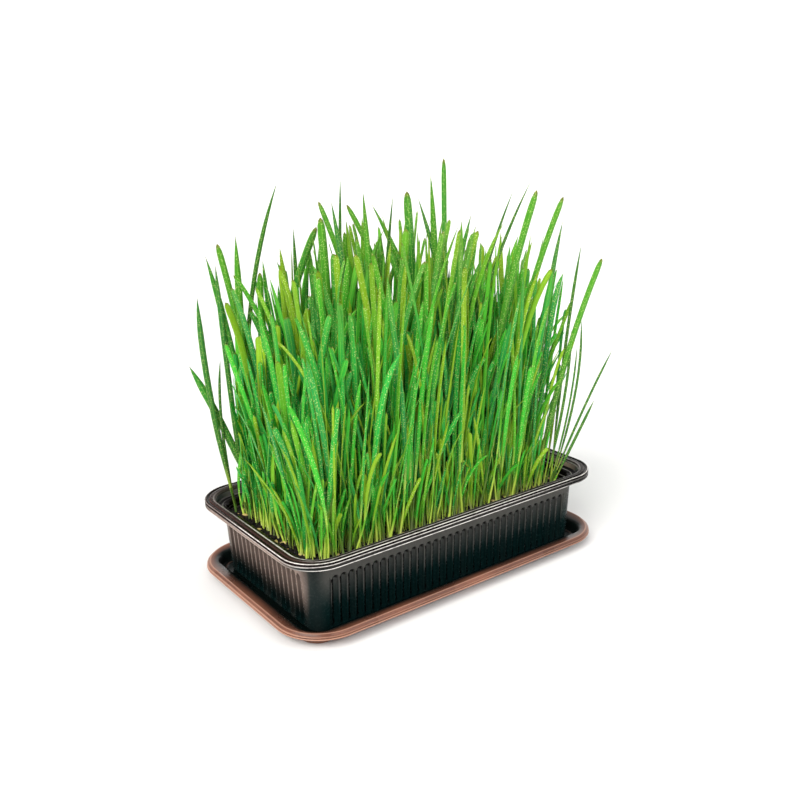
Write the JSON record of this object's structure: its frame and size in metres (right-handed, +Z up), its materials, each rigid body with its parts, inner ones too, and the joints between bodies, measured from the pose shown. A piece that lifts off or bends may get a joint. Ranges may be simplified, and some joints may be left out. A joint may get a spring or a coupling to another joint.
{
  "type": "wheatgrass tray",
  "caption": "Dense turf of living wheatgrass on its root mat, growing in compost in a fluted plastic tray that stands in a shallow drip saucer.",
  "frame": {"origin": "middle of the saucer's flat underside, on the surface it stands on", "axes": "+X along the tray's long side, +Y along its short side, +Z up"},
  "size_m": [0.207, 0.124, 0.22],
  "materials": {
    "saucer_plastic": "glossy copper-brown vacuum-formed plastic",
    "tray_plastic": "glossy dark brown-black vacuum-formed plastic",
    "compost": "moist crumbly black compost",
    "grass": "fresh green blades with fine lengthwise veins and water droplets"
  },
  "bodies": {
    "root": {"saucer": "saucer_plastic", "tray": "tray_plastic", "soil": "compost", "turf": "grass"}
  },
  "joints": []
}
